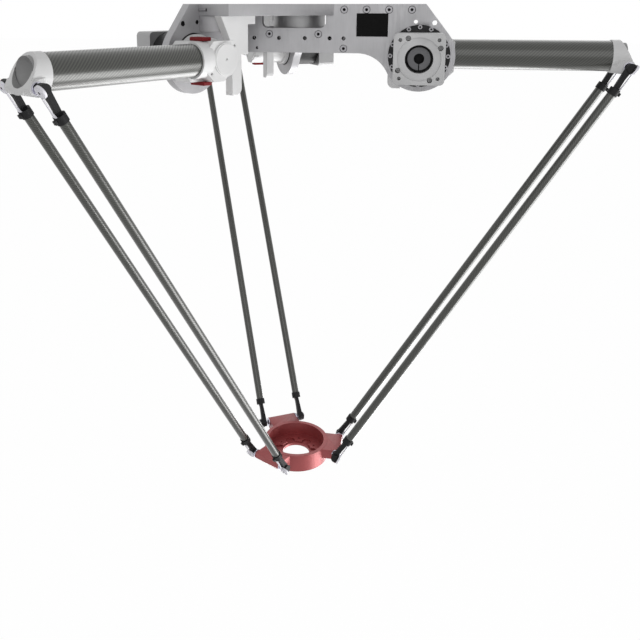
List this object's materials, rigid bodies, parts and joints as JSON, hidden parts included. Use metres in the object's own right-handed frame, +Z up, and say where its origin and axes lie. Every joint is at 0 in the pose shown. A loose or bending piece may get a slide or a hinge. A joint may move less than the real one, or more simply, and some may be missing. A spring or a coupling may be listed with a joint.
{
  "type": "delta robot",
  "caption": "Ceiling-hung three-arm delta robot: geared shoulder drives, carbon arms and forearm rods with ball joints, and a red ring platform for a tool.",
  "frame": {"origin": "centre of the top mounting face", "axes": "+Z up, +X along leg a"},
  "size_m": [1.0487, 1.2076, 1.0581],
  "materials": {
    "plate_aluminium": "milled plate, fine brushed grain",
    "light_casting": "pale powder-coated casting",
    "gearbox_black": "satin black",
    "adapter_aluminium": "fine turned and milled",
    "dark_steel": "turned steel",
    "carbon_tube": "twill carbon laminate, clear coat",
    "carbon_rod": "carbon laminate, clear coat",
    "polished_steel": "polished",
    "red_rubber": "red moulded buffer",
    "black_moulding": "black moulded polymer",
    "white_moulding": "white moulded polymer",
    "screw_steel": "blackened and plain screws",
    "label_black": "bare black plate",
    "red_anodised": "red anodised"
  },
  "bodies": {
    "frame": {"top_plate": "plate_aluminium", "centre_tube": "adapter_aluminium", "corner_gussets": "plate_aluminium", "frame_screws": "screw_steel", "gearbox_screws": "screw_steel", "rating_plate": "label_black", "side_plate_a": "plate_aluminium", "side_plate_b": "plate_aluminium", "side_plate_c": "plate_aluminium", "stop_web_a": "light_casting", "stop_web_b": "light_casting", "stop_web_c": "light_casting", "gearbox_a": "gearbox_black", "gearbox_b": "gearbox_black", "gearbox_c": "gearbox_black", "motor_adapter_a": "adapter_aluminium", "motor_adapter_b": "adapter_aluminium", "motor_adapter_c": "adapter_aluminium"},
    "arm_a": {"gearbox_output_a": "gearbox_black", "arm_hub_a": "light_casting", "hub_cap_a": "light_casting", "arm_tube_a": "carbon_tube", "elbow_fitting_a": "light_casting", "elbow_studs_a": "polished_steel", "stop_buffers_a": "red_rubber"},
    "rods_a": {"rods_a": "carbon_rod", "rod_ends_a": "black_moulding", "rod_clips_a": "white_moulding", "wrist_studs_a": "polished_steel"},
    "input_a": {"input_hub_a": "dark_steel"},
    "arm_b": {"gearbox_output_b": "gearbox_black", "arm_hub_b": "light_casting", "hub_cap_b": "light_casting", "arm_tube_b": "carbon_tube", "elbow_fitting_b": "light_casting", "elbow_studs_b": "polished_steel", "stop_buffers_b": "red_rubber"},
    "rods_b": {"rods_b": "carbon_rod", "rod_ends_b": "black_moulding", "rod_clips_b": "white_moulding", "wrist_studs_b": "polished_steel"},
    "input_b": {"input_hub_b": "dark_steel"},
    "arm_c": {"gearbox_output_c": "gearbox_black", "arm_hub_c": "light_casting", "hub_cap_c": "light_casting", "arm_tube_c": "carbon_tube", "elbow_fitting_c": "light_casting", "elbow_studs_c": "polished_steel", "stop_buffers_c": "red_rubber"},
    "rods_c": {"rods_c": "carbon_rod", "rod_ends_c": "black_moulding", "rod_clips_c": "white_moulding", "wrist_studs_c": "polished_steel"},
    "input_c": {"input_hub_c": "dark_steel"},
    "platform": {"platform": "red_anodised"}
  },
  "joints": [
    {"name": "arm_a_swing", "type": "hinge", "parent": "frame", "child": "arm_a", "pos_m": [0.25, 0, -0.1], "axis": [0, 1, 0], "range_deg": [0, 60]},
    {"name": "arm_b_swing", "type": "hinge", "parent": "frame", "child": "arm_b", "pos_m": [-0.125, -0.21651, -0.1], "axis": [0.866, -0.5, 0], "range_deg": [0, 60]},
    {"name": "arm_c_swing", "type": "hinge", "parent": "frame", "child": "arm_c", "pos_m": [-0.125, 0.21651, -0.1], "axis": [-0.866, -0.5, 0], "range_deg": [0, 60]},
    {"name": "rods_a_fold", "type": "hinge", "parent": "arm_a", "child": "rods_a", "pos_m": [0.65, 0, -0.12], "axis": [0, 1, 0], "range_deg": [-73, 0]},
    {"name": "rods_b_fold", "type": "hinge", "parent": "arm_b", "child": "rods_b", "pos_m": [-0.325, -0.56292, -0.12], "axis": [0.866, -0.5, 0], "range_deg": [-73, 0]},
    {"name": "rods_c_fold", "type": "hinge", "parent": "arm_c", "child": "rods_c", "pos_m": [-0.325, 0.56292, -0.12], "axis": [-0.866, -0.5, 0], "range_deg": [-73, 0]},
    {"name": "input_a_spin", "type": "hinge", "parent": "frame", "child": "input_a", "pos_m": [0.25, -0.14, -0.1], "axis": [0, 1, 0], "range_deg": [0, 1860]},
    {"name": "input_b_spin", "type": "hinge", "parent": "frame", "child": "input_b", "pos_m": [-0.24624, -0.14651, -0.1], "axis": [0.866, -0.5, 0], "range_deg": [0, 1860]},
    {"name": "input_c_spin", "type": "hinge", "parent": "frame", "child": "input_c", "pos_m": [-0.00376, 0.28651, -0.1], "axis": [-0.866, -0.5, 0], "range_deg": [0, 1860]},
    {"name": "platform_travel", "type": "slide", "parent": "frame", "child": "platform", "axis": [0, 0, 1], "range_m": [-0.437, 0]}
  ],
  "couplings": [
    {"joint": "arm_b_swing", "follows": "arm_a_swing", "ratio": 1},
    {"joint": "arm_c_swing", "follows": "arm_a_swing", "ratio": 1},
    {"joint": "rods_a_fold", "follows": "arm_a_swing", "ratio": -1.2161},
    {"joint": "rods_b_fold", "follows": "arm_a_swing", "ratio": -1.2161},
    {"joint": "rods_c_fold", "follows": "arm_a_swing", "ratio": -1.2161},
    {"joint": "input_a_spin", "follows": "arm_a_swing", "ratio": 31},
    {"joint": "input_b_spin", "follows": "arm_a_swing", "ratio": 31},
    {"joint": "input_c_spin", "follows": "arm_a_swing", "ratio": 31},
    {"joint": "platform_travel", "follows": "arm_a_swing", "m_per_rad": -0.41702}
  ]
}
